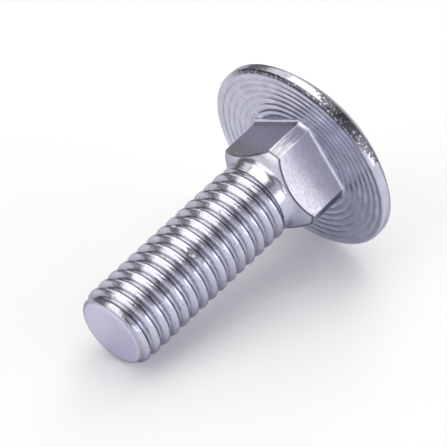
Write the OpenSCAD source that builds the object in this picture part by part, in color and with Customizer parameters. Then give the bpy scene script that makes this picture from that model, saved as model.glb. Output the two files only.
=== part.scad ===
// Carriage bolt: a domed head with a ringed underside, a square neck and a fully threaded shank.
// The bolt is one forged and rolled piece of steel. It lies on the rim of its head and on its thread.

/* [Head] */
// Diameter of the head
head_d = 19.5; // [18:0.5:24]
// Height of the head from its underside to the top of the dome
head_h = 4.5; // [3.6:0.1:6]
// Thickness of the rim's upright edge
rim_h = 0.95; // [0.8:0.05:2]
// Radius of the rim's two rounded corners
rim_round = 0.25; // [0.1:0.05:0.35]

/* [Rings] */
// Number of shallow rings pressed into the underside of the head
ring_count = 8; // [1:1:8]
// Distance from the middle of one ring to the next
ring_pitch = 0.65; // [0.5:0.01:0.8]
// Depth of a ring
ring_depth = 0.07; // [0.03:0.01:0.15]
// Width of the ridge left between two rings
ring_land = 0.1; // [0.04:0.02:0.2]
// Width of the flat left between the outermost ring and the rim's rounded corner
rim_land = 0.12; // [0.1:0.02:0.6]

/* [Neck] */
// Width of the square neck across two of its flats
neck_w = 8.1; // [7.8:0.1:8.4]
// Diameter of the circle that the neck's four corners lie on
neck_corner_d = 10.3; // [9.7:0.1:10.9]
// Length of the neck's corners below the head
neck_depth = 4.1; // [3:0.1:6]
// Angle between the bolt's axis and the slope from the neck's corners down to the shank
neck_taper = 56; // [45:1:65]
// Radius of the fillet between the neck and the head
neck_fillet = 0.35; // [0.2:0.05:0.6]
// Radius of the fillet between the neck's end and the shank
neck_blend = 0.7; // [0.3:0.1:1]

/* [Shank] */
// Length of the bolt from the head's underside to its tip
length = 25; // [20:0.2:30]
// Diameter of the shank's plain band
blank_d = 7.3; // [7:0.1:7.6]
// Length of the plain band, from the foot of the neck's end to the thread
band_l = 1; // [0.8:0.1:2.5]

/* [Thread] */
// Diameter over the crests of the thread
thread_d = 7.8; // [7.7:0.1:8.4]
// Distance from one crest of the thread to the next
thread_pitch = 1.25; // [1:0.25:1.5]
// Depth of the thread from crest to root
thread_h = 0.6; // [0.5:0.02:0.8]
// Length over which the thread runs out into the plain band
runout_l = 0.6; // [0.4:0.1:3]
// Turn of the thread about the bolt's axis
thread_turn = 276; // [0:1:359]

/* [Tip] */
// Diameter of the flat end face
tip_d = 6; // [5:0.1:6.4]
// Length of the rounded taper at the tip
tip_l = 1.8; // [1:0.1:2.5]
// Length of the plain collar next to the end face
collar_l = 0.2; // [0.1:0.05:0.4]

/* [Pose] */
// Turn of the square neck about the bolt's axis as the bolt lies
neck_turn = 63; // [0:1:89]

/* [Hidden] */

// Smooth round faces
$fn = 96;
// Overlap that joins two solids into one
lap = 0.5;
// Room past a face for a solid that cuts or bounds it
over = 1;

// Head
head_r = head_d / 2;
// Radius of the sphere that gives the dome, from the rim's width and the dome's height
dome_h = head_h - rim_h;
dome_r = (head_r * head_r + dome_h * dome_h) / (2 * dome_h);
dome_z = head_h - dome_r;
// Middle of the rounding of the rim's lower corner
corner_r = head_r - rim_round;
// Middle of the rounding between the rim's upright edge and the dome, set a little nearer to both
crown_in = 0.95 * rim_round;
crown_r = head_r - crown_in;
crown_z = dome_z + sqrt(pow(dome_r - crown_in, 2) - crown_r * crown_r);
// Direction from the middle of the dome's sphere to the middle of that rounding
crown_way = [crown_r, crown_z - dome_z] / (dome_r - crown_in);
// Turn of the head's seam about the axis, at which the facets of its mesh lie steadily on a floor
seam_turn = -2.25;

// Rings
ring_w = ring_pitch - ring_land;
ring_arc_r = (ring_w * ring_w / 4 + ring_depth * ring_depth) / (2 * ring_depth);
ring_out = corner_r - rim_land - ring_w / 2;

// Neck
neck_corner_r = neck_corner_d / 2;
blank_r = blank_d / 2;
// Foot of the neck's end on the shank
foot_z = -neck_depth - (neck_corner_r - blank_r) / tan(neck_taper);
// The neck's end is domed a little: its sphere passes through the neck's corners and that foot
end_rise = pow(neck_corner_r, 2) - pow(blank_r, 2) + pow(neck_depth, 2) - pow(foot_z, 2);
end_z = -end_rise / (2 * (neck_depth + foot_z));
end_r = norm([neck_corner_r, neck_depth + end_z]);
// Middle of the fillet between the neck's end and the shank
blend_r = blank_r + neck_blend;
blend_z = end_z - sqrt(pow(end_r + neck_blend, 2) - pow(blend_r, 2));
// Where that fillet meets the neck's end
blend_meet = [0, end_z] + [blend_r, blend_z - end_z] * end_r / (end_r + neck_blend);

// Thread
band_z = foot_z - band_l;
thread_r = thread_d / 2;
// One turn's outline: place along the pitch, and share of the thread's depth
thread_form = [[-0.14, 0.12], [0, 0], [0.14, 0.12], [0.38, 0.9], [0.5, 1], [0.62, 0.9]];
form_n = len(thread_form);
// Facets round the thread
facets = 40;
// The thread's upper end is tucked into the plain band, a little inside its surface
tuck_r = blank_r - 0.03;
tuck_z = band_z + 0.4;
// The run-out starts a little above the band's end, so that the crests rise out of the band's side
runout_z = band_z + 0.2;
// The thread's lower end is the top of the collar
collar_z = collar_l - length;
// Points of the outline nearer to an end than this are drawn into that end
near = 0.05 * thread_pitch;
// The helix starts two turns below the tip, so that it is whole where it comes into use
helix_z = -length - (2 - thread_turn / 360) * thread_pitch;
rows = form_n * ceil((tuck_z - helix_z) / thread_pitch + 1);

// Tip
tip_r = tip_d / 2;
// Rings of points that round the end face's edge
collar_rings = 3;

// Height of a point of the helix: row i counts along the outline, column j counts round the thread
function helix_point_z(i, j) =
    helix_z + thread_pitch * (floor(i / form_n) + thread_form[i % form_n][0] + j / facets);

// Radius that the rounded tip leaves at a height
function tip_limit(z) =
    let (t = min(1, (z + length) / tip_l))
    tip_r + (thread_r - tip_r) * sqrt(1 - (1 - t) * (1 - t));

// Share of the thread's form at a height, from none at the plain band to all below the run-out
function form_share(z) = max(0, min(1, (runout_z - z) / runout_l));

// Radius of a point of the thread
function thread_point_r(i, z) =
    let (full = min(thread_r - thread_h * thread_form[i % form_n][1], tip_limit(z)))
    tuck_r + (full - tuck_r) * form_share(z);

// Height of a ring of the collar, closer together towards the end face
function collar_ring_z(k) = -length + collar_l * pow(k / (collar_rings - 1), 2);

// A point at a radius and height in column j
function column_point(r, z, j) = [r * cos(360 * j / facets), r * sin(360 * j / facets), z];

// Number of a point: the collar's rings come first, then the top ring, then the helix
function ring_index(k, j) = k * facets + j % facets;
function helix_index(i, j) =
    j == facets ? helix_index(i + form_n, 0)
    : helix_point_z(i, j) < collar_z + near ? ring_index(collar_rings - 1, j)
    : helix_point_z(i, j) > tuck_z - near ? ring_index(collar_rings, j)
    : (collar_rings + 1) * facets + i * facets + j;

// Two triangles between four points, less any that has no width
function patch(a, b, c, d) =
    [for (t = [[a, b, c], [a, c, d]]) if (t[0] != t[1] && t[1] != t[2] && t[2] != t[0]) t];

// Lean of the axis at which the bolt's rim and a point of its thread touch the same floor
function lean_to(r, z) =
    let (across = corner_r - r)
    let (along = rim_round - z)
    acos(-rim_round / norm([across, along])) - atan2(along, across);
lean = min([
    for (i = [0 : rows - 1])
        let (z = helix_point_z(i, 0))
        if (z > collar_z && z < band_z) lean_to(thread_point_r(i, z), z)
]);
// Height of the bolt's own origin, the middle of the head's underside, above the floor
rest_h = corner_r * cos(lean) - rim_round * sin(lean) + rim_round;
// Middle between the dome's furthest point and the end face's furthest edge, along the floor
dome_reach = dome_z * cos(lean) + dome_r;
tip_reach = length * cos(lean) + tip_r * sin(lean);
mid_x = (dome_reach - tip_reach) / 2;

// Outline of the head from the axis to the rim, before its rounding and its rings
module head_blank() {
    intersection() {
        square([head_r, head_h]);
        translate([0, dome_z]) circle(dome_r, $fn = 4 * $fn);
    }
}

// What the rounding takes from the rim's lower corner
module rim_corner() {
    difference() {
        translate([corner_r, -over]) square([over, over + rim_round]);
        translate([corner_r, rim_round]) circle(rim_round);
    }
}

// What the rounding takes from the corner between the rim and the dome
module crown_corner() {
    middle = [crown_r, crown_z];
    difference() {
        polygon([middle, [head_r + over, crown_z], [head_r + over, crown_z + over], middle + over * crown_way]);
        translate(middle) circle(rim_round);
    }
}

// Hollows of the rings in the underside
module rings() {
    for (k = [0 : ring_count - 1])
        translate([ring_out - k * ring_pitch, ring_depth - ring_arc_r]) circle(ring_arc_r);
}

// The domed head, turned about the axis
module head() {
    rotate([0, 0, seam_turn]) rotate_extrude()
        difference() {
            head_blank();
            rim_corner();
            crown_corner();
            rings();
        }
}

// What a fillet adds beside an upright face that stands at x = 0
module neck_flare() {
    difference() {
        translate([-lap, -neck_fillet]) square([lap + neck_fillet, neck_fillet + lap]);
        translate([neck_fillet, -neck_fillet]) circle(neck_fillet);
    }
}

// Side view of the neck's two opposite flats, with the fillets under the head
module flats_outline() {
    translate([-neck_w / 2, foot_z]) square([neck_w, lap - foot_z]);
    for (side = [0, 1])
        mirror([side, 0]) translate([neck_w / 2, 0]) neck_flare();
}

// Outline of the neck's corners and its domed end from the axis outwards
module corners_outline() {
    intersection() {
        translate([0, foot_z]) square([neck_corner_r, lap - foot_z]);
        translate([0, end_z]) circle(end_r);
    }
    translate([neck_corner_r, 0]) neck_flare();
}

// The square neck with rounded corners and a domed end
module neck() {
    wide = neck_corner_d + 2 * neck_fillet + 2 * over;
    rotate([0, 0, neck_turn])
        intersection() {
            rotate([90, 0, 0]) linear_extrude(height = wide, center = true) flats_outline();
            rotate([90, 0, 90]) linear_extrude(height = wide, center = true) flats_outline();
            rotate_extrude() corners_outline();
        }
}

// The plain band of the shank, with the fillet that meets the neck's end
module band() {
    rotate_extrude() {
        translate([0, band_z]) square([blank_r, -band_z]);
        difference() {
            polygon([[0, foot_z + lap], [0, blend_z], [blend_r, blend_z], blend_meet]);
            translate([blend_r, blend_z]) circle(neck_blend);
        }
    }
}

// The rolled thread, with its rounded tip and its run-out
module thread() {
    polyhedron(
        points = [
            for (k = [0 : collar_rings - 1], j = [0 : facets - 1])
                column_point(tip_limit(collar_ring_z(k)), collar_ring_z(k), j),
            for (j = [0 : facets - 1]) column_point(tuck_r, tuck_z, j),
            for (i = [0 : rows - 1], j = [0 : facets - 1])
                let (z = max(collar_z, min(tuck_z, helix_point_z(i, j))))
                column_point(thread_point_r(i, z), z, j)
        ],
        faces = [
            [for (j = [0 : facets - 1]) ring_index(0, j)],
            [for (j = [facets - 1 : -1 : 0]) ring_index(collar_rings, j)],
            for (k = [0 : collar_rings - 2], j = [0 : facets - 1])
                each patch(ring_index(k, j), ring_index(k + 1, j), ring_index(k + 1, j + 1), ring_index(k, j + 1)),
            for (i = [0 : rows - 2], j = [0 : facets - 1])
                each patch(helix_index(i, j), helix_index(i + 1, j), helix_index(i + 1, j + 1), helix_index(i, j + 1))
        ]
    );
}

// The whole bolt, lying with its head towards +X and the middle of its box over the origin
module bolt() {
    color([0.78, 0.78, 0.82])
        translate([-mid_x, 0, rest_h])
            rotate([0, 90 - lean, 0]) {
                head();
                neck();
                band();
                thread();
            }
}

bolt();
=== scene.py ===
from math import acos, asin, atan2, ceil, cos, hypot, pi, radians, sin, sqrt, tan
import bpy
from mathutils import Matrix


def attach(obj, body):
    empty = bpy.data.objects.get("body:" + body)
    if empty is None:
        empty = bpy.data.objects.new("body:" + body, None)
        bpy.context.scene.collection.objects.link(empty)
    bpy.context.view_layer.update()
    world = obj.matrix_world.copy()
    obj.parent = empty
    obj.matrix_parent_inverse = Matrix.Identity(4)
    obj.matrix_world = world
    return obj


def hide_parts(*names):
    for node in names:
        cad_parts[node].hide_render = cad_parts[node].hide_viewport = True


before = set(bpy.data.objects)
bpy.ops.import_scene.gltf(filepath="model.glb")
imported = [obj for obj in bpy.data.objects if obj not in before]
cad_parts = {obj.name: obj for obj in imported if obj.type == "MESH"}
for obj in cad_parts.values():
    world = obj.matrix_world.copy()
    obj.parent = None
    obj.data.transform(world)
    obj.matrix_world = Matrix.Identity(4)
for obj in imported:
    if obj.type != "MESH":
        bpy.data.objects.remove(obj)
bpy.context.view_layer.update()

from types import SimpleNamespace

import bmesh
import bpy
from bmesh.types import BMEdge, BMFace, BMVert
from mathutils import Matrix, Vector, noise

# Sizes of the bolt, in millimetres and radians, with R for a radius, W for a width, H for a height and
# L for a length
HEAD_R = 9.75
HEAD_H = 4.5
RIM_H = 0.95
RIM_ROUND = 0.25
RING_COUNT = 8
RING_PITCH = 0.65
RING_DEPTH = 0.07
RING_LAND = 0.1
RIM_LAND = 0.12
NECK_W = 8.1
NECK_CORNER_R = 5.15
NECK_DEPTH = 4.1
NECK_TAPER = radians(56)
NECK_TURN = radians(63)
NECK_FILLET = 0.35
NECK_BLEND = 0.7
NECK_EDGE = 0.07
LENGTH = 25
BLANK_R = 3.65
BAND_L = 1
THREAD_R = 3.9
THREAD_H = 0.6
THREAD_TURN = radians(276)
PITCH = 1.25
FLANK = radians(32.7)
CREST_ROUND = 0.22
RUNOUT_L = 0.6
TIP_R = 3
TIP_L = 1.8

# The bolt's own frame: its axis is Z, with the underside of the head at 0 and the dome above.
# As it lies, the axis leans by LEAN and the middle of the underside is REST_H above the floor.
LEAN = radians(13.789465)
REST_H = 9.416603
MID_X = -10.093579
MM = 0.001
LYING = (
    Matrix.Scale(MM, 4)
    @ Matrix.Translation((-MID_X, 0, REST_H))
    @ Matrix.Rotation(radians(90) - LEAN, 4, "Y")
)

# How far one form reaches into the next, so that no gap shows between them
FLARE_INTO_HEAD = 0.4
BAND_INTO_THREAD = 0.2
RUNOUT_INTO_BAND = 0.2
THREAD_INTO_BAND = 0.4
THREAD_BELOW_BAND = 0.03

# Worked out from the sizes: the edge that the bolt seats on, the sphere of the dome, the foot of the
# neck's slope, the sphere that ends the neck, and the ends of the plain band and of the run-out
BEARING_R = HEAD_R - RIM_ROUND
DOME_H = HEAD_H - RIM_H
DOME_R = (HEAD_R ** 2 + DOME_H ** 2) / (2 * DOME_H)
DOME_Z = HEAD_H - DOME_R
FOOT_Z = -NECK_DEPTH - (NECK_CORNER_R - BLANK_R) / tan(NECK_TAPER)
NECK_END_Z = (
    (FOOT_Z ** 2 - NECK_DEPTH ** 2 + BLANK_R ** 2 - NECK_CORNER_R ** 2)
    / (2 * (FOOT_Z + NECK_DEPTH))
)
NECK_END_R = hypot(NECK_CORNER_R, NECK_DEPTH + NECK_END_Z)
BAND_Z = FOOT_Z - BAND_L
RUNOUT_Z = BAND_Z + RUNOUT_INTO_BAND

# How finely the round forms are divided, how close points are that get merged, and how close to a size a
# point or face lies that counts as on it
HEAD_FACETS = 360
RIM_SHARES = (0.33, 0.67, 1)
NECK_FACETS = 192
THREAD_FACETS = 96
FLARE_STEPS = 6
MERGE = 1e-4
NEAR = 0.01

# Edges that turn by more than this stay sharp in the shading
SHARP_FROM = radians(38)

# Unevenness left by forging and rolling: how far it moves a surface, in millimetres
RING_SWAY = 0.035
RING_LIFT = 0.012
RIM_WEAR = 0.02
CREST_WEAR = 0.012
NICK_DEPTH = 0.35
TIP_CHIP = 0.05

# Where it lies: on the rings outside the neck, on the rim, in the top CREST_TOP of the thread and outside
# TIP_EDGE_R at the tip. The rings are lifted by one slice of the random values, a nick comes where they
# are above NICK_FROM, and a chip lifts the tip's edge by a share of its own depth.
RINGS_FROM_R = 4
UNDERSIDE_TOP = 0.3
RING_LIFT_SLICE = 9
CREST_TOP = 0.2
NICK_FROM = 0.5
TIP_EDGE_R = 2.7
TIP_CHIP_LIFT = 0.4


# Drawing an outline with operators
def only(kind, made):
    """The points, edges or faces among what an operator made."""
    return [part for part in made if isinstance(part, kind)]


def pen(bm, r, z):
    """The first point of an outline, at a radius and height in the XZ plane."""
    return bmesh.ops.create_vert(bm, co=(r, 0, z))["vert"][0]


def line(bm, start, r, z):
    """A straight stretch of the outline."""
    end = bmesh.ops.extrude_vert_indiv(bm, verts=[start])["verts"][0]
    end.co = (r, 0, z)
    return end


def arc(bm, start, r, z, turn, steps):
    """A round stretch of the outline about the point (r, z)."""
    made = bmesh.ops.spin(
        bm, geom=[start], cent=(r, 0, z), axis=(0, 1, 0), dvec=(0, 0, 0),
        angle=turn, steps=steps, use_merge=False
    )
    return only(BMVert, made["geom_last"])[0]


def turn_on_axis(bm, facets):
    """Turns the drawn outline once about the bolt's axis."""
    bmesh.ops.spin(
        bm, geom=bm.verts[:] + bm.edges[:], cent=(0, 0, 0), axis=(0, 0, 1), dvec=(0, 0, 0),
        angle=2 * pi, steps=facets, use_merge=True
    )
    bmesh.ops.remove_doubles(bm, verts=bm.verts[:], dist=MERGE)
    bmesh.ops.recalc_face_normals(bm, faces=bm.faces[:])


def trim(bm, point, way):
    """Cuts off what lies beyond a plane, and gives the edges of the cut."""
    cut = bmesh.ops.bisect_plane(
        bm, geom=bm.verts[:] + bm.edges[:] + bm.faces[:], dist=MERGE / 10,
        plane_co=point, plane_no=way, clear_outer=True
    )
    return only(BMEdge, cut["geom_cut"])


def polar(v):
    """A point's distance from the bolt's axis and its angle round it."""
    return hypot(v.co.x, v.co.y), atan2(v.co.y, v.co.x)


def place(v, r, angle, z):
    """Moves a point to a radius, an angle and a height."""
    v.co = (r * cos(angle), r * sin(angle), z)


def stray(x, y, z, closeness=1, shift=0):
    """A smooth random value from about -1 to 1, which changes faster where closeness is higher."""
    return noise.noise(Vector((x, y, z)) * closeness + Vector((shift, 0, 0)))


def stray_round(angle, r, closeness, across):
    """A smooth random value that changes round the bolt, and more slowly across its rings."""
    return stray(closeness * cos(angle), closeness * sin(angle), across * r)


# Head
def draw_underside(bm):
    """Underside of the head from the axis outwards: shallow rings with narrow ridges between them."""
    half_ring = (RING_PITCH - RING_LAND) / 2
    bow_r = (half_ring ** 2 + RING_DEPTH ** 2) / (2 * RING_DEPTH)
    outermost = BEARING_R - RIM_LAND - half_ring
    spot = pen(bm, 0, 0)
    for k in reversed(range(RING_COUNT)):
        middle = outermost - k * RING_PITCH
        spot = line(bm, spot, middle - half_ring, 0)
        spot = arc(bm, spot, middle, RING_DEPTH - bow_r, turn=2 * asin(half_ring / bow_r), steps=8)
    return line(bm, spot, BEARING_R, 0)


def wear_head(bm):
    """Lets the rings sway and lift a little, and roughens the rim."""
    for v in bm.verts:
        r, angle = polar(v)
        z = v.co.z
        if z < UNDERSIDE_TOP and RINGS_FROM_R < r < BEARING_R + NEAR:
            r += RING_SWAY * stray_round(angle, r, closeness=2.5, across=0.35)
            z += RING_LIFT * stray(v.co.x, v.co.y, RING_LIFT_SLICE, closeness=1.7)
        elif r > BEARING_R:
            r += RIM_WEAR * (stray(v.co.x, v.co.y, z, closeness=2.2) - 1)
        place(v, r, angle, z)


def forge_head():
    """Domed head with a rough rim and shallow rings pressed into its underside."""
    bm = bmesh.new()
    spot = draw_underside(bm)
    spot = arc(bm, spot, BEARING_R, RIM_ROUND, turn=-pi / 2, steps=5)
    crown_z = DOME_Z + sqrt((DOME_R - RIM_ROUND) ** 2 - BEARING_R ** 2)
    tilt = asin(BEARING_R / (DOME_R - RIM_ROUND))
    for share in RIM_SHARES:
        spot = line(bm, spot, HEAD_R, RIM_ROUND + share * (crown_z - RIM_ROUND))
    spot = arc(bm, spot, BEARING_R, crown_z, turn=tilt - pi / 2, steps=4)
    arc(bm, spot, 0, DOME_Z, turn=-tilt, steps=26)
    turn_on_axis(bm, HEAD_FACETS)
    wear_head(bm)
    return bm


# Neck and plain band
def turn_blank(bm):
    """Round form of the neck's corners, with its domed end, the blend into the shank and the plain band."""
    blend_r = BLANK_R + NECK_BLEND
    blend_way = acos(blend_r / (NECK_END_R + NECK_BLEND))
    blend_z = NECK_END_Z - (NECK_END_R + NECK_BLEND) * sin(blend_way)
    hidden_z = BAND_Z - BAND_INTO_THREAD
    spot = pen(bm, 0, -NECK_FILLET)
    spot = line(bm, spot, NECK_CORNER_R, -NECK_FILLET)
    spot = line(bm, spot, NECK_CORNER_R, -NECK_DEPTH)
    spot = arc(bm, spot, 0, NECK_END_Z, turn=blend_way - acos(NECK_CORNER_R / NECK_END_R), steps=4)
    spot = arc(bm, spot, blend_r, blend_z, turn=-blend_way, steps=8)
    spot = line(bm, spot, BLANK_R, hidden_z)
    line(bm, spot, 0, hidden_z)
    turn_on_axis(bm, NECK_FACETS)


def cut_flats(bm):
    """Cuts the four flats off the round blank."""
    for k in range(4):
        angle = NECK_TURN + k * pi / 2
        way = Vector((cos(angle), sin(angle), 0))
        bmesh.ops.contextual_create(bm, geom=trim(bm, way * NECK_W / 2, way))
    bmesh.ops.remove_doubles(bm, verts=bm.verts[:], dist=MERGE)
    bmesh.ops.recalc_face_normals(bm, faces=bm.faces[:])


def break_edges(bm):
    """Takes the sharpness off the edges of the flats and of the neck's end."""
    least_area = 5
    flats = [f for f in bm.faces if abs(f.normal.z) < NEAR and f.calc_area() > least_area]
    edges = {e for f in flats for e in f.edges if min(v.co.z for v in e.verts) < -NECK_FILLET - NEAR}
    edges |= {e for e in bm.edges if all(abs(v.co.z + NECK_DEPTH) < 10 * MERGE for v in e.verts)}
    bmesh.ops.bevel(
        bm, geom=list(edges), offset=NECK_EDGE, offset_type="OFFSET", segments=3, profile=0.5,
        affect="EDGES", material=-1, clamp_overlap=True
    )


def outward_ways(faces):
    """For each point on the border of some level faces, the outward ways of the border's edges there."""
    border = {e for f in faces for e in f.edges if sum(n in faces for n in e.link_faces) == 1}
    ways = {}
    for e in border:
        a, b = (v.co for v in e.verts)
        side = Vector((b.y - a.y, a.x - b.x, 0)).normalized()
        if side.dot((a + b) / 2) < 0:
            side = -side
        for v in e.verts:
            ways.setdefault(v, []).append(side)
    return ways


def flare(bm):
    """Grows the top of the neck outwards into the head in small steps, as a fillet does."""
    facing_up = 0.99
    sharpest = 0.5
    top = [f for f in bm.faces if f.normal.z > facing_up and f.calc_center_median().z > -NECK_FILLET - NEAR]
    top = bmesh.ops.dissolve_faces(bm, faces=top)["region"]
    grown = 0
    for k in range(1, FLARE_STEPS + 2):
        turn = min(k, FLARE_STEPS) / FLARE_STEPS * pi / 2
        z = NECK_FILLET * (sin(turn) - 1) if k <= FLARE_STEPS else FLARE_INTO_HEAD
        out = NECK_FILLET * (1 - cos(turn))
        made = bmesh.ops.extrude_face_region(bm, geom=top)
        bmesh.ops.delete(bm, geom=top, context="FACES_ONLY")
        top = only(BMFace, made["geom"])
        for v in {v for f in top for v in f.verts}:
            v.co.z = z
        for v, sides in outward_ways(top).items():
            way = sum(sides, Vector()).normalized()
            v.co += way * (out - grown) / max(sharpest, way.dot(sides[0]))
        grown = out


def forge_neck():
    """Square neck with rounded corners, flared into the head, with its domed end and the plain band."""
    bm = bmesh.new()
    turn_blank(bm)
    cut_flats(bm)
    break_edges(bm)
    flare(bm)
    return bm


# Thread and tip

# Rounded edge of the end face and its slight hollow: radius, and height above the end. The winding itself
# stops TIP_EDGE_H above the end, and its crests pass into the rounded tip over TIP_BLEND.
TIP_STEPS = (
    (3.16, 0.05), (3.07, 0.015), (2.96, 0), (2.85, 0.004),
    (2.4, 0.02), (1.6, 0.035), (0.8, 0.042), (0.1, 0.045),
)
TIP_EDGE_H = 0.12
TIP_BLEND = 0.25


def tip_limit(z):
    """Largest radius at a height near the rounded tip."""
    t = max(0, min(1, (z + LENGTH) / TIP_L))
    return TIP_R + (THREAD_R - TIP_R) * sqrt(1 - (1 - t) ** 2)


def soft_min(a, b, soft):
    """The smaller of two values, with a smooth change from one to the other."""
    h = max(soft - abs(a - b), 0) / soft
    return min(a, b) - h * h * soft / 4


def draw_pitch(bm):
    """Outline of one pitch of the thread, from the middle of a root over the crest to the next root."""
    root_r = THREAD_R - THREAD_H
    crest_z = -LENGTH - 2 * PITCH + THREAD_TURN / (2 * pi) * PITCH
    root_below = crest_z - PITCH / 2
    root_above = crest_z + PITCH / 2
    swing = pi / 2 - FLANK
    round_in = CREST_ROUND * (1 - sin(FLANK))
    round_up = CREST_ROUND * cos(FLANK)
    spot = pen(bm, root_r, root_below)
    spot = arc(bm, spot, root_r + CREST_ROUND, root_below, turn=swing, steps=4)
    spot = line(bm, spot, THREAD_R - round_in, crest_z - round_up)
    spot = arc(bm, spot, THREAD_R - CREST_ROUND, crest_z, turn=-2 * swing, steps=8)
    spot = line(bm, spot, root_r + round_in, root_above - round_up)
    arc(bm, spot, root_r + CREST_ROUND, root_above, turn=swing, steps=4)


def wind_thread(bm):
    """Winds the drawn pitch once round the axis, stacks as many turns as it takes and trims both ends."""
    spare_turns = 3
    bmesh.ops.spin(
        bm, geom=bm.verts[:] + bm.edges[:], cent=(0, 0, 0), axis=(0, 0, 1),
        dvec=(0, 0, PITCH / THREAD_FACETS), angle=2 * pi, steps=THREAD_FACETS, use_merge=False
    )
    one_turn = bm.verts[:] + bm.edges[:] + bm.faces[:]
    for k in range(1, ceil((LENGTH + BAND_Z) / PITCH) + spare_turns):
        made = bmesh.ops.duplicate(bm, geom=one_turn)
        bmesh.ops.translate(bm, verts=only(BMVert, made["geom"]), vec=(0, 0, k * PITCH))
    bmesh.ops.remove_doubles(bm, verts=bm.verts[:], dist=MERGE)
    trim(bm, (0, 0, -LENGTH + TIP_EDGE_H), (0, 0, -1))
    trim(bm, (0, 0, BAND_Z + THREAD_INTO_BAND), (0, 0, 1))
    bmesh.ops.remove_doubles(bm, verts=bm.verts[:], dist=10 * MERGE)


def press_thread(bm):
    """Lets the thread rise out of the plain band, nicks its crests and rounds it off at the tip."""
    hidden_r = BLANK_R - THREAD_BELOW_BAND
    for v in bm.verts:
        r, angle = polar(v)
        z = v.co.z
        share = max(0, min(1, (RUNOUT_Z - z) / RUNOUT_L))
        share = share * share * (3 - 2 * share)
        r = soft_min(r, tip_limit(z), TIP_BLEND)
        if r > THREAD_R - CREST_TOP:
            nick = stray(v.co.x, v.co.y, z, closeness=1.6, shift=5)
            r -= CREST_WEAR * (1 + nick) + NICK_DEPTH * max(0, nick - NICK_FROM)
        place(v, hidden_r + (r - hidden_r) * share, angle, z)


def close_ends(bm):
    """Closes the thread inside the band and, with a rounded, chipped edge and a slight hollow, at the tip."""
    open_edges = [e for e in bm.edges if e.is_boundary]
    lower = [e for e in open_edges if e.verts[0].co.z < -LENGTH / 2]
    upper = [e for e in open_edges if e.verts[0].co.z > -LENGTH / 2]
    bmesh.ops.edgeloop_fill(bm, edges=upper)
    for r, z in TIP_STEPS:
        lower = only(BMEdge, bmesh.ops.extrude_edge_only(bm, edges=lower)["geom"])
        uneven = TIP_CHIP if r > TIP_EDGE_R else 0
        for v in {v for e in lower for v in e.verts}:
            own, angle = polar(v)
            chip = stray_round(angle, r, closeness=2.2, across=0.3)
            place(v, min(own, r + uneven * chip), angle, -LENGTH + z + TIP_CHIP_LIFT * uneven * (1 + chip))
    bmesh.ops.edgeloop_fill(bm, edges=lower)
    bmesh.ops.recalc_face_normals(bm, faces=bm.faces[:])


def roll_thread():
    """Right-hand rolled thread that rises out of the plain band and falls into the rounded tip."""
    bm = bmesh.new()
    draw_pitch(bm)
    wind_thread(bm)
    press_thread(bm)
    close_ends(bm)
    return bm


# The whole bolt
def mark_places(bm):
    """Marks the rim, the neck's flats and the thread for the finish."""
    rim_from_r = BEARING_R + 0.12
    rim_to_z = RIM_H + 0.05
    flats_from_z = -NECK_DEPTH - 1
    flats_to_z = 0.1
    rim, flat, thread = (bm.verts.layers.float.new(name) for name in ("rim", "flat", "thread"))
    for v in bm.verts:
        r, angle = polar(v)
        z = v.co.z
        side = (angle - NECK_TURN + pi / 4) % (pi / 2) - pi / 4
        off_flat = abs(r * cos(side) - NECK_W / 2)
        v[rim] = float(r > rim_from_r and z < rim_to_z)
        v[flat] = float(flats_from_z < z < flats_to_z and off_flat < 2 * NEAR)
        v[thread] = float(z < RUNOUT_Z)


def add_object(name, data):
    """Puts a mesh, lamp or camera into the scene."""
    made = bpy.data.objects.new(name, data)
    bpy.context.scene.collection.objects.link(made)
    return made


def finish_bolt():
    """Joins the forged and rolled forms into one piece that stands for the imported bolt."""
    mesh = bpy.data.meshes.new("bolt_body")
    whole = bmesh.new()
    for form in (forge_head(), forge_neck(), roll_thread()):
        part = bpy.data.meshes.new("form")
        form.to_mesh(part)
        form.free()
        whole.from_mesh(part)
        bpy.data.meshes.remove(part)
    mark_places(whole)
    whole.transform(LYING)
    whole.to_mesh(mesh)
    whole.free()
    mesh.shade_smooth()
    mesh.set_sharp_from_angle(angle=SHARP_FROM)
    bolt = add_object("bolt_body", mesh)
    even = bolt.modifiers.new("even shading", "WEIGHTED_NORMAL")
    even.keep_sharp = True
    return bolt


# Building a finish from shader nodes
def node(tree, kind, links=None, **settings):
    """One shader node, with its settings, its plain input values and what is linked to its inputs."""
    made = tree.nodes.new(kind)
    for name, value in settings.items():
        setattr(made, name, value)
    for name, value in (links or {}).items():
        if isinstance(value, bpy.types.NodeSocket):
            tree.links.new(value, made.inputs[name])
        else:
            made.inputs[name].default_value = value
    return made


def maths(tree, operation, a, b):
    """The result of one operation on two values."""
    return node(tree, "ShaderNodeMath", {0: a, 1: b}, operation=operation).outputs[0]


def vector_maths(tree, operation, result, *inputs):
    """One result, Vector or Value, of an operation on vectors."""
    made = node(tree, "ShaderNodeVectorMath", dict(enumerate(inputs)), operation=operation)
    return made.outputs[result]


def along(tree, where, way):
    """How far a place lies along a way."""
    return vector_maths(tree, "DOT_PRODUCT", "Value", where, way)


def times(tree, first, *others):
    """The product of several values."""
    for other in others:
        first = maths(tree, "MULTIPLY", first, other)
    return first


def larger(tree, a, b):
    """The larger of two values."""
    return maths(tree, "MAXIMUM", a, b)


def beside(size, low, high):
    """A span beside one of the bolt's sizes, given by how far its two ends lie from it."""
    return size + low, size + high


def rising(tree, value, span, start=0.0, end=1.0):
    """Goes smoothly from start to end while the value crosses the span."""
    made = node(
        tree, "ShaderNodeMapRange",
        {"Value": value, "From Min": span[0], "From Max": span[1], "To Min": start, "To Max": end},
        interpolation_type="SMOOTHSTEP"
    )
    return made.outputs["Result"]


def falling(tree, value, span):
    """Goes smoothly from 1 to 0 while the value crosses the span."""
    return rising(tree, value, span, 1, 0)


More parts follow.
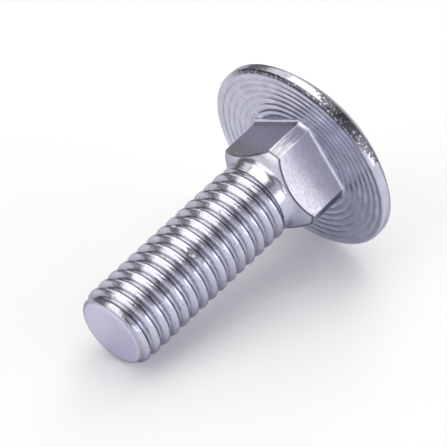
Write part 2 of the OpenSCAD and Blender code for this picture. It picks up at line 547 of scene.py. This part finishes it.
def cloud(tree, where, scale, detail=2.0, rough=0.5):
    """Smooth random patches with values round 0.5, smaller where the scale is higher."""
    made = node(
        tree, "ShaderNodeTexNoise", {"Vector": where, "Scale": scale, "Detail": detail, "Roughness": rough}
    )
    return made.outputs["Fac"]


def stretched(tree, where, scale):
    """Coordinates for a pattern that is finer along an axis where its scale is higher."""
    return node(tree, "ShaderNodeMapping", {"Vector": where, "Scale": scale}, vector_type="POINT").outputs[0]


def place_mark(tree, name):
    """One of the marks that mark_places made."""
    return node(tree, "ShaderNodeAttribute", attribute_type="GEOMETRY", attribute_name=name).outputs["Fac"]


def tinted(tree, share, before, colour):
    """Lays a colour over the tone before it, as strongly as the share says."""
    layers = {0: share, 6: before, 7: (*colour, 1)}
    return node(tree, "ShaderNodeMix", layers, data_type="RGBA").outputs[2]


# Colours of the finish, from the clean zinc to the darkest scale, and its tint at a glancing angle. The
# ridge, root, crown and crease greys are painted shade, and the end face's colour is partly painted light.
CLEAN_ZINC = (0.6, 0.6, 0.73)
DEEPER_ZINC = (0.545, 0.543, 0.67)
END_FACE_TONE_AND_PAINTED_LIGHT = (0.66, 0.65, 0.82)
PALE_FLAT = (0.62, 0.61, 0.685)
SANDY_FLAT = (0.36, 0.354, 0.405)
RIDGE_PAINTED_SHADE = (0.3, 0.3, 0.36)
ROOT_PAINTED_SHADE = (0.27, 0.265, 0.32)
SCRATCH_GREY = (0.27, 0.267, 0.3)
CROWN_PAINTED_SHADE = (0.25, 0.247, 0.28)
SPECK_GREY = (0.23, 0.225, 0.26)
CREASE_PAINTED_SHADE = (0.1, 0.095, 0.12)
SCALE_DARK = (0.08, 0.077, 0.09)
EDGE_TINT = (0.5, 0.5, 0.53, 1)

# Ways in the bolt's own frame to the side where the rim is scaled and to the side where its edge is dark,
# and how far along them these begin and are full
SCALED_WAY = (-0.731, -0.682, 0.9)
SCALED_SPAN = (8.7, 9.85)
DARK_EDGE_WAY = (-0.996, -0.087, 0)
DARK_EDGE_SPAN = (5.5, 8)

# How patterns are stretched: streaks run round the thread, and scratches along the neck's corners
ROUND_THE_THREAD = (0.3, 0.3, 7)
ALONG_THE_NECK = (5, 5, 0.8)


def bolt_places(tree):
    """The bolt's own coordinates in millimetres, its marks and its patterns, for the finish to follow."""
    own = node(
        tree, "ShaderNodeMapping",
        {
            "Vector": node(tree, "ShaderNodeTexCoord").outputs["Object"],
            "Location": (-MID_X * MM, 0, REST_H * MM),
            "Rotation": (0, pi / 2 - LEAN, 0),
            "Scale": (MM, MM, MM),
        },
        vector_type="TEXTURE"
    ).outputs[0]
    x, y, height = node(tree, "ShaderNodeSeparateXYZ", {0: own}).outputs
    from_axis = node(tree, "ShaderNodeCombineXYZ", {0: x, 1: y}).outputs[0]
    square_on = node(
        tree, "ShaderNodeVectorRotate", {"Vector": own, "Angle": -NECK_TURN}, rotation_type="Z_AXIS"
    ).outputs[0]
    to_sides = vector_maths(tree, "ABSOLUTE", "Vector", square_on)
    to_side, to_next_side = node(tree, "ShaderNodeSeparateXYZ", {0: to_sides}).outputs[:2]
    end_face = falling(tree, height, beside(-LENGTH, 0.06, 0.1))
    thread = times(tree, place_mark(tree, "thread"), maths(tree, "SUBTRACT", 1, end_face))
    return SimpleNamespace(
        own=own,
        height=height,
        radius=vector_maths(tree, "LENGTH", "Value", from_axis),
        across=larger(tree, to_side, to_next_side),
        rim=place_mark(tree, "rim"),
        scaled_side=rising(tree, along(tree, own, SCALED_WAY), SCALED_SPAN),
        flat=place_mark(tree, "flat"),
        thread=thread,
        speck=times(tree, rising(tree, cloud(tree, own, scale=3.2), (0.65, 0.72)), thread),
        end_face=end_face,
        blotch=cloud(tree, own, scale=0.7, detail=3),
        grain=cloud(tree, own, scale=5.5, detail=3, rough=0.6),
        mottle=cloud(tree, own, scale=4, detail=3, rough=0.6),
    )


def painted_ridge_shade_lines(tree, at):
    """Painted shade: fine dark lines just outside the ridges between the rings, for the shading of the rings'
    slopes. Their places are in pitches of the rings.
    """
    ridge_at = (BEARING_R - RIM_LAND + RING_LAND / 2) / RING_PITCH % 1
    line_at = ridge_at + 0.13
    half_pitch = 0.5
    pitches = maths(tree, "DIVIDE", at.radius, RING_PITCH)
    off_line = maths(tree, "PINGPONG", maths(tree, "SUBTRACT", pitches, line_at), half_pitch)
    lines = falling(tree, off_line, (0.04, 0.16))
    off_neck = rising(tree, at.height, (-0.02, 0))
    off_rim = falling(tree, at.height, beside(RING_DEPTH, 0.01, 0.05))
    inside_rim = falling(tree, at.radius, beside(BEARING_R, -0.3, -0.1))
    faint_in_places = rising(tree, at.blotch, (0.3, 0.6))
    return times(tree, lines, off_neck, off_rim, inside_rim, faint_in_places)


def dark_scale(tree, at):
    """Flecks of dark scale on one side of the rim."""
    thickest = 0.68
    flecks = maths(tree, "ADD", at.mottle, times(tree, at.scaled_side, thickest))
    return times(tree, rising(tree, flecks, (1.02, 1.13)), at.rim)


def dark_edge(tree, at):
    """Broken dark line along the lower edge of the rim."""
    outer = rising(tree, at.radius, beside(BEARING_R, -0.18, -0.13))
    low = falling(tree, at.height, beside(RIM_ROUND, -0.07, 0.01))
    side = rising(tree, along(tree, at.own, DARK_EDGE_WAY), DARK_EDGE_SPAN)
    broken = rising(tree, at.mottle, (0.38, 0.46))
    return times(tree, outer, low, side, broken)


def painted_crease_shade(tree, at):
    """Painted shade: thin dark lines round the neck's end, just inside its flats and along its round corners.
    """
    inside_flat = rising(tree, at.across, beside(NECK_W / 2, -0.25, -0.1))
    off_flat = falling(tree, at.across, beside(NECK_W / 2, -0.02, -0.005))
    corner = rising(tree, at.radius, beside(NECK_CORNER_R, -0.22, -0.09))
    end = falling(tree, at.height, beside(-NECK_DEPTH, -0.06, 0))
    return times(tree, larger(tree, times(tree, inside_flat, off_flat), corner), end)


def corner_scratches(tree, at):
    """Scratches along the neck's corners, below its fillet."""
    corner = rising(tree, at.radius, beside(NECK_CORNER_R, -0.08, -0.02))
    off_flat = falling(tree, at.across, beside(NECK_W / 2, -0.07, -0.05))
    below_fillet = falling(tree, at.height, beside(-NECK_FILLET, -0.1, 0))
    scratches = cloud(tree, stretched(tree, at.own, ALONG_THE_NECK), scale=1, detail=3)
    scratches = rising(tree, scratches, (0.35, 0.65), start=0.35, end=0.9)
    return times(tree, corner, off_flat, below_fillet, scratches)


def painted_crown_shade(tree, at):
    """Painted shade: a dark band all round the edge between rim and dome."""
    upper = rising(tree, at.height, beside(RIM_H, -0.23, 0))
    outer = rising(tree, at.radius, beside(HEAD_R, -0.45, -0.3))
    return times(tree, upper, outer)


def zinc_tone(tree, at):
    """The zinc's colour: clean zinc with each mark laid over the ones before, at its own strength. The ring
    lines, the roots, the crown and the neck's crease lines are painted shade, and the end face's tone is
    partly painted light.
    """
    # Painted shade: the thread darkens towards its roots, as shade in its grooves
    root = times(tree, falling(tree, at.radius, beside(THREAD_R, -0.54, -0.24)), at.thread)
    sand = times(tree, rising(tree, at.grain, (0.4, 0.65)), at.flat)
    darkest = larger(tree, dark_scale(tree, at), dark_edge(tree, at))
    tone = tinted(tree, rising(tree, at.blotch, (0.35, 0.65)), (*CLEAN_ZINC, 1), DEEPER_ZINC)
    for mark, strength, colour in (
        # painted shade along the ring ridges
        (painted_ridge_shade_lines(tree, at), 0.65, RIDGE_PAINTED_SHADE),
        # painted shade in the thread's roots
        (root, 0.45, ROOT_PAINTED_SHADE),
        (at.flat, 0.7, PALE_FLAT),
        (sand, 0.5, SANDY_FLAT),
        # the end face's cut finish, made lighter as painted light
        (at.end_face, 1, END_FACE_TONE_AND_PAINTED_LIGHT),
        (at.speck, 1, SPECK_GREY),
        (corner_scratches(tree, at), 1, SCRATCH_GREY),
        # painted shade on the crown's edge
        (painted_crown_shade(tree, at), 1, CROWN_PAINTED_SHADE),
        # painted shade along the neck's end
        (painted_crease_shade(tree, at), 0.93, CREASE_PAINTED_SHADE),
        (darkest, 0.9, SCALE_DARK),
    ):
        tone = tinted(tree, times(tree, mark, strength), tone, colour)
    return tone


def zinc_roughness(tree, at):
    """How dull the zinc is: uneven with its grain, and more on the flats and the specks."""
    dull = rising(tree, at.grain, (0.3, 0.7), start=0.17, end=0.27)
    for mark, more in ((at.flat, 0.1), (at.speck, 0.2)):
        dull = maths(tree, "ADD", dull, times(tree, mark, more))
    return dull


def zinc_relief(tree, at):
    """Layers of fine relief, each with its depth in millimetres."""
    above_rings = rising(tree, at.height, beside(RING_DEPTH, 0.03, 0.06))
    below_head = falling(tree, at.height, (-0.2, -0.1))
    scaly = cloud(tree, at.own, scale=1.9, detail=4, rough=0.6)
    dents = cloud(tree, at.own, scale=2.6)
    streaks = cloud(tree, stretched(tree, at.own, ROUND_THE_THREAD), scale=1, detail=3, rough=0.6)
    relief = None
    for pattern, depth in (
        (at.blotch, 0.01),
        (times(tree, scaly, larger(tree, above_rings, below_head)), 0.011),
        (times(tree, dents, at.thread), 0.014),
        (at.grain, 0.003),
        (times(tree, streaks, at.thread), 0.006),
        (times(tree, at.grain, at.flat), 0.002),
        (times(tree, at.mottle, at.rim, at.scaled_side), 0.022),
    ):
        layer = {"Strength": 1, "Distance": depth * MM, "Height": pattern}
        if relief:
            layer["Normal"] = relief
        relief = node(tree, "ShaderNodeBump", layer).outputs[0]
    return relief


def zinc_plate():
    """Bright zinc with a lilac tint: sandy flats, rolling streaks on the thread and a scaled rim."""
    zinc = bpy.data.materials.new("bright zinc plate")
    zinc.use_nodes = True
    tree = zinc.node_tree
    at = bolt_places(tree)
    shade = tree.nodes["Principled BSDF"].inputs
    shade["Metallic"].default_value = 1
    shade["Specular Tint"].default_value = EDGE_TINT
    tree.links.new(zinc_tone(tree, at), shade["Base Color"])
    tree.links.new(zinc_roughness(tree, at), shade["Roughness"])
    tree.links.new(zinc_relief(tree, at), shade["Normal"])
    return zinc


# Floor

# Half its width in metres, its colour, and the light that it adds to what is seen of it
FLOOR_HALF_W = 2
FLOOR_COLOUR = (0.745, 0.745, 0.795, 1)
FLOOR_GLOW = 0.14


def pale_floor():
    """Pale matt floor, a little brighter to the camera and in mirrored and transmitted light."""
    bm = bmesh.new()
    bmesh.ops.create_grid(bm, x_segments=1, y_segments=1, size=FLOOR_HALF_W)
    mesh = bpy.data.meshes.new("floor")
    bm.to_mesh(mesh)
    bm.free()
    floor = add_object("floor", mesh)
    pale = bpy.data.materials.new("pale floor")
    pale.use_nodes = True
    tree = pale.node_tree
    tree.nodes.clear()
    rays = node(tree, "ShaderNodeLightPath").outputs
    seen = rays["Is Camera Ray"]
    for kind in ("Is Glossy Ray", "Is Transmission Ray"):
        seen = larger(tree, seen, rays[kind])
    glow = node(tree, "ShaderNodeEmission", {"Strength": times(tree, seen, FLOOR_GLOW)})
    matt = node(tree, "ShaderNodeBsdfDiffuse", {"Color": FLOOR_COLOUR})
    both = node(tree, "ShaderNodeAddShader", {0: matt.outputs[0], 1: glow.outputs[0]})
    node(tree, "ShaderNodeOutputMaterial", {"Surface": both.outputs[0]})
    mesh.materials.append(pale)


# Camera and light

# The camera was fitted to the photo and has no roll. Its focal length is in the photo's pixels, its place
# in millimetres, and the ways to its right and ahead of it are in the frame's axes.
PHOTO_W = 447
FOCAL_PX = 3056.654
SENSOR_W = 36
CAMERA_PLACE = Vector((-162.067, -147.047, 160.936))
CAMERA_RIGHT = Vector((0.671737, -0.74079, 0)).normalized()
CAMERA_AHEAD = Vector((0.606697, 0.550143, -0.573813)).normalized()


def set_camera():
    """Puts the camera where the photo was taken from."""
    camera = bpy.data.cameras.new("camera")
    camera.sensor_width = SENSOR_W
    camera.lens = FOCAL_PX * SENSOR_W / PHOTO_W
    camera.clip_start = 0.01
    camera.clip_end = 10
    up = CAMERA_RIGHT.cross(CAMERA_AHEAD).normalized()
    turn = Matrix((CAMERA_RIGHT, up, -CAMERA_AHEAD)).transposed().to_4x4()
    holder = add_object("camera", camera)
    holder.matrix_world = Matrix.Translation(CAMERA_PLACE * MM) @ turn
    bpy.context.scene.camera = holder


# How far the lamps stand from the bolt and the height that they face, in metres, the level of the room,
# and the colours of the light
LAMP_REACH = 0.6
LAMP_AIM_H = 0.009
ROOM_LEVEL = 0.2
WHITE = (1, 1, 1)
WARM = (1, 1, 0.9)


def softbox(name, turn, rise, wide, high, level, tint=WHITE):
    """An area lamp that faces the bolt from a direction.

    The direction and the lamp's two sizes are in degrees as the bolt sees them, and level is how
    bright its face is.
    """
    lamp = bpy.data.lights.new(name, "AREA")
    lamp.shape = "RECTANGLE"
    lamp.size = 2 * LAMP_REACH * tan(radians(wide / 2))
    lamp.size_y = 2 * LAMP_REACH * tan(radians(high / 2))
    lamp.energy = level * pi * lamp.size * lamp.size_y
    lamp.color = tint
    out = cos(radians(rise))
    way = Vector((cos(radians(turn)) * out, sin(radians(turn)) * out, sin(radians(rise))))
    holder = add_object(name, lamp)
    holder.location = way * LAMP_REACH + Vector((0, 0, LAMP_AIM_H))
    holder.rotation_euler = way.to_track_quat("Z", "Y").to_euler()


def set_light():
    """A dim white room with softboxes all round, which the bolt mirrors."""
    world = bpy.data.worlds.new("room")
    world.use_nodes = True
    room = world.node_tree.nodes["Background"].inputs
    room["Color"].default_value = (*WHITE, 1)
    room["Strength"].default_value = ROOM_LEVEL
    bpy.context.scene.world = world
    softbox("overhead", turn=66, rise=79, wide=66, high=50, level=1.75, tint=WARM)
    softbox("right back", turn=20, rise=34, wide=40, high=34, level=2.2, tint=WARM)
    softbox("back", turn=62, rise=39, wide=52, high=22, level=0.9, tint=WARM)
    softbox("front left", turn=-121, rise=6, wide=34, high=11, level=2)
    softbox("front", turn=-66, rise=14, wide=56, high=26, level=1.7)
    softbox("fill", turn=-95, rise=36, wide=80, high=26, level=0.45)
    softbox("left", turn=170, rise=29, wide=46, high=54, level=1.6, tint=WARM)
    softbox("right front", turn=-18, rise=12, wide=44, high=22, level=1.2)


bpy.context.scene.view_settings.view_transform = "Standard"
set_camera()
set_light()
pale_floor()
bolt = finish_bolt()
bolt.data.materials.append(zinc_plate())
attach(bolt, "root")
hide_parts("bolt")
